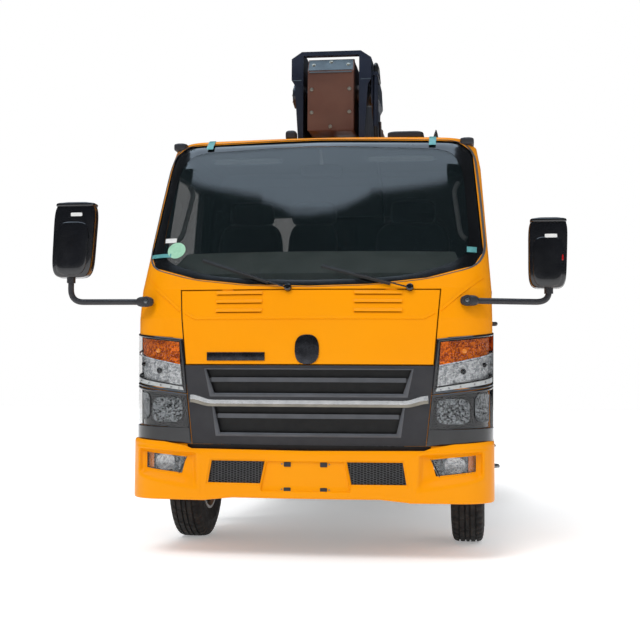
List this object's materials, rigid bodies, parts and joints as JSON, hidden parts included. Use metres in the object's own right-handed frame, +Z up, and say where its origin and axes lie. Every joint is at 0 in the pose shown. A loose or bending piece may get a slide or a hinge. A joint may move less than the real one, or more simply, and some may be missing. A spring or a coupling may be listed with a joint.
{
  "type": "cherry picker truck",
  "caption": "Light cab-over truck with a slewing turret behind the cab, a telescopic boom stowed over the cab, a work basket, jack legs, steering, doors and rolling wheels.",
  "frame": {"origin": "on the ground under the middle of the length and width", "axes": "+Z up, the cab faces -Y, +X is the driver's side, on the right seen from in front"},
  "size_m": [2.858, 5.9872, 3.042],
  "materials": {
    "cab_yellow": "gloss road-worn yellow paint",
    "turret_black": "semi-gloss black paint",
    "boom_brown": "satin brown paint",
    "chassis_black": "satin chassis paint",
    "engine_grey": "cast iron",
    "bare_aluminium": "mill finish aluminium",
    "black_plastic": "grained black plastic",
    "lamp_lens": "clear lamp lens",
    "tinted_glass": "green tinted safety glass",
    "seat_cloth": "woven seat cloth",
    "dash_plastic": "grained grey plastic",
    "chromed_rod": "hard chrome",
    "leg_steel": "ground steel",
    "tyre_rubber": "tyre rubber",
    "rim_white": "silver-white wheel paint"
  },
  "bodies": {
    "root": {"chassis_frame": "chassis_black", "subframe": "chassis_black", "front_axle": "chassis_black", "rear_axle": "chassis_black", "leaf_springs": "chassis_black", "engine": "engine_grey", "driveshaft": "chassis_black", "side_tanks": "bare_aluminium", "deck": "bare_aluminium", "mudguards": "black_plastic", "underrun_guards": "bare_aluminium", "boom_rest": "chassis_black", "slew_ring": "chassis_black", "lamps": "lamp_lens", "cab_shell": "cab_yellow", "cab_glass": "tinted_glass", "bumper": "cab_yellow", "grille": "black_plastic", "mirrors": "black_plastic", "wipers": "black_plastic", "seats": "seat_cloth", "dashboard": "dash_plastic", "steering_wheel": "black_plastic"},
    "front_flap": {"front_flap": "cab_yellow"},
    "turret": {"turret_frame": "turret_black", "hose_guard": "turret_black"},
    "lift_barrel": {"lift_barrel": "turret_black"},
    "lift_rod": {"lift_rod": "chromed_rod"},
    "boom_outer": {"boom_outer": "boom_brown", "boom_cover": "boom_brown", "hose_duct": "turret_black"},
    "boom_mid": {"boom_mid": "boom_brown"},
    "boom_inner": {"boom_inner": "boom_brown"},
    "platform_bracket": {"platform_bracket": "turret_black"},
    "basket": {"basket": "bare_aluminium"},
    "basket_gate": {"basket_gate": "bare_aluminium"},
    "door_left": {"door_left": "cab_yellow", "door_glass_left": "tinted_glass"},
    "knuckle_left": {"knuckle_left": "chassis_black"},
    "wheel_front_left": {"rim_front_left": "rim_white", "tyre_front_left": "tyre_rubber"},
    "wheels_rear_left": {"rims_rear_left": "rim_white", "tyres_rear_left": "tyre_rubber"},
    "outrigger_beam_left": {"outrigger_beam_left": "turret_black"},
    "leg_front_left": {"outrigger_leg_front_left": "leg_steel"},
    "leg_rear_left": {"outrigger_leg_rear_left": "leg_steel"},
    "door_right": {"door_right": "cab_yellow", "door_glass_right": "tinted_glass"},
    "knuckle_right": {"knuckle_right": "chassis_black"},
    "wheel_front_right": {"rim_front_right": "rim_white", "tyre_front_right": "tyre_rubber"},
    "wheels_rear_right": {"rims_rear_right": "rim_white", "tyres_rear_right": "tyre_rubber"},
    "outrigger_beam_right": {"outrigger_beam_right": "turret_black"},
    "leg_front_right": {"outrigger_leg_front_right": "leg_steel"},
    "leg_rear_right": {"outrigger_leg_rear_right": "leg_steel"}
  },
  "joints": [
    {"name": "steer_left", "type": "hinge", "parent": "root", "child": "knuckle_left", "pos_m": [-0.69, -1.9, 0.388], "axis": [0, 0, 1], "range_deg": [-35, 35]},
    {"name": "steer_right", "type": "hinge", "parent": "root", "child": "knuckle_right", "pos_m": [0.69, -1.9, 0.388], "axis": [0, 0, 1], "range_deg": [-35, 35]},
    {"name": "front_flap", "type": "hinge", "parent": "root", "child": "front_flap", "pos_m": [0, -2.946, 1.453], "axis": [-1, 0, 0], "range_deg": [0, 70]},
    {"name": "slew", "type": "hinge", "parent": "root", "child": "turret", "pos_m": [0, -0.7, 1.08], "axis": [0, 0, 1], "continuous": true},
    {"name": "luff", "type": "hinge", "parent": "turret", "child": "boom_outer", "pos_m": [0, -1.76, 2.8], "axis": [1, 0, 0], "range_deg": [0, 78]},
    {"name": "lift_barrel", "type": "hinge", "parent": "turret", "child": "lift_barrel", "pos_m": [0, -0.56, 1.26], "axis": [1, 0, 0], "range_deg": [-16.91, 1]},
    {"name": "lift_rod", "type": "slide", "parent": "lift_barrel", "child": "lift_rod", "axis": [0, -0.5315, 0.8471], "range_m": [-0.005, 0.8623]},
    {"name": "boom_mid", "type": "slide", "parent": "boom_outer", "child": "boom_mid", "axis": [0, 1, 0], "range_m": [0, 2.65]},
    {"name": "boom_inner", "type": "slide", "parent": "boom_mid", "child": "boom_inner", "axis": [0, 1, 0], "range_m": [0, 2.65]},
    {"name": "platform_level", "type": "hinge", "parent": "boom_inner", "child": "platform_bracket", "pos_m": [0, 2.17, 2.49], "axis": [1, 0, 0], "range_deg": [-78, 0]},
    {"name": "basket_swing", "type": "hinge", "parent": "platform_bracket", "child": "basket", "pos_m": [0, 2.27, 2.1], "axis": [0, 0, 1], "range_deg": [-90, 90]},
    {"name": "basket_gate", "type": "hinge", "parent": "basket", "child": "basket_gate", "pos_m": [-0.581, 2.56, 1.8], "axis": [0, 0, -1], "range_deg": [0, 90]},
    {"name": "wheel_front_left", "type": "hinge", "parent": "knuckle_left", "child": "wheel_front_left", "pos_m": [-0.845, -1.9, 0.388], "axis": [1, 0, 0], "continuous": true},
    {"name": "wheels_rear_left", "type": "hinge", "parent": "root", "child": "wheels_rear_left", "pos_m": [-0.885, 1.46, 0.388], "axis": [1, 0, 0], "continuous": true},
    {"name": "door_left", "type": "hinge", "parent": "root", "child": "door_left", "pos_m": [-0.992, -2.583, 1.4], "axis": [0, 0, 1], "range_deg": [0, 70]},
    {"name": "outrigger_beam_left", "type": "slide", "parent": "root", "child": "outrigger_beam_left", "axis": [-1, 0, 0], "range_m": [0, 0.75]},
    {"name": "leg_front_left", "type": "slide", "parent": "outrigger_beam_left", "child": "leg_front_left", "axis": [0, 0, -1], "range_m": [0, 0.42]},
    {"name": "leg_rear_left", "type": "slide", "parent": "root", "child": "leg_rear_left", "axis": [0, 0, -1], "range_m": [0, 0.42]},
    {"name": "wheel_front_right", "type": "hinge", "parent": "knuckle_right", "child": "wheel_front_right", "pos_m": [0.845, -1.9, 0.388], "axis": [1, 0, 0], "continuous": true},
    {"name": "wheels_rear_right", "type": "hinge", "parent": "root", "child": "wheels_rear_right", "pos_m": [0.885, 1.46, 0.388], "axis": [1, 0, 0], "continuous": true},
    {"name": "door_right", "type": "hinge", "parent": "root", "child": "door_right", "pos_m": [0.992, -2.583, 1.4], "axis": [0, 0, -1], "range_deg": [0, 70]},
    {"name": "outrigger_beam_right", "type": "slide", "parent": "root", "child": "outrigger_beam_right", "axis": [1, 0, 0], "range_m": [0, 0.75]},
    {"name": "leg_front_right", "type": "slide", "parent": "outrigger_beam_right", "child": "leg_front_right", "axis": [0, 0, -1], "range_m": [0, 0.42]},
    {"name": "leg_rear_right", "type": "slide", "parent": "root", "child": "leg_rear_right", "axis": [0, 0, -1], "range_m": [0, 0.42]}
  ],
  "couplings": [
    {"joint": "steer_right", "follows": "steer_left", "ratio": 1},
    {"joint": "lift_barrel", "follows": "luff", "ratio": -0.204},
    {"joint": "lift_rod", "follows": "luff", "m_per_rad": 0.62973},
    {"joint": "boom_inner", "follows": "boom_mid", "ratio": 1},
    {"joint": "platform_level", "follows": "luff", "ratio": -1}
  ]
}
